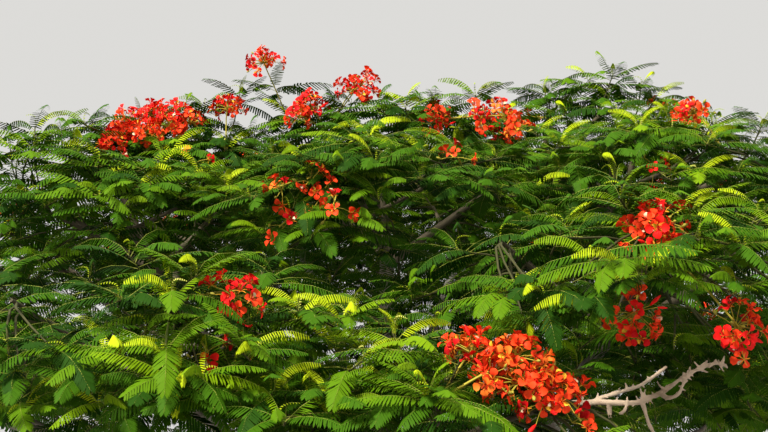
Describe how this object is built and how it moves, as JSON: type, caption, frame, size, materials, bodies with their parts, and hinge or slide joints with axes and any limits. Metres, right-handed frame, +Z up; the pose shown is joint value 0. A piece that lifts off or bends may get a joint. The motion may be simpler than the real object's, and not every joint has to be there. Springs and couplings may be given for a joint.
{
  "type": "flame tree",
  "caption": "Umbrella-crowned flame tree in bloom, rooted in level ground, with tapering boughs, sprays of feathery leaves, heads of red blossom and a bare dead limb.",
  "frame": {"origin": "middle of the flat cut under the trunk, at ground level", "axes": "+Z up, -Y towards the side the picture was taken from, +X to the right seen from there"},
  "size_m": [11.5354, 10.4512, 7.2146],
  "materials": {
    "bark": "matt grey-brown bark",
    "dead_wood": "bleached bare wood",
    "foliage": "soft green leaves"
  },
  "bodies": {
    "root": {"trunk": "bark", "bough_skirt_1": "bark", "bough_skirt_2": "bark", "bough_skirt_3": "bark", "bough_skirt_4": "bark", "bough_skirt_5": "bark", "bough_skirt_6": "bark", "bough_skirt_7": "bark", "bough_skirt_8": "bark", "bough_skirt_9": "bark", "bough_skirt_10": "bark", "bough_shoulder_1": "bark", "bough_shoulder_2": "bark", "bough_shoulder_3": "bark", "bough_shoulder_4": "bark", "bough_shoulder_5": "bark", "bough_shoulder_6": "bark", "bough_shoulder_7": "bark", "bough_shoulder_8": "bark", "bough_crest_1": "bark", "bough_crest_2": "bark", "bough_crest_3": "bark", "bough_crest_4": "bark", "bough_crest_5": "bark", "bough_apron": "bark", "dead_bough": "dead_wood", "foliage_skirt_1": "foliage", "foliage_skirt_2": "foliage", "foliage_skirt_3": "foliage", "foliage_skirt_4": "foliage", "foliage_skirt_5": "foliage", "foliage_skirt_6": "foliage", "foliage_skirt_7": "foliage", "foliage_skirt_8": "foliage", "foliage_skirt_9": "foliage", "foliage_skirt_10": "foliage", "foliage_shoulder_1": "foliage", "foliage_shoulder_2": "foliage", "foliage_shoulder_3": "foliage", "foliage_shoulder_4": "foliage", "foliage_shoulder_5": "foliage", "foliage_shoulder_6": "foliage", "foliage_shoulder_7": "foliage", "foliage_shoulder_8": "foliage", "foliage_crest_1": "foliage", "foliage_crest_2": "foliage", "foliage_crest_3": "foliage", "foliage_crest_4": "foliage", "foliage_crest_5": "foliage", "foliage_apron": "foliage"}
  },
  "joints": []
}
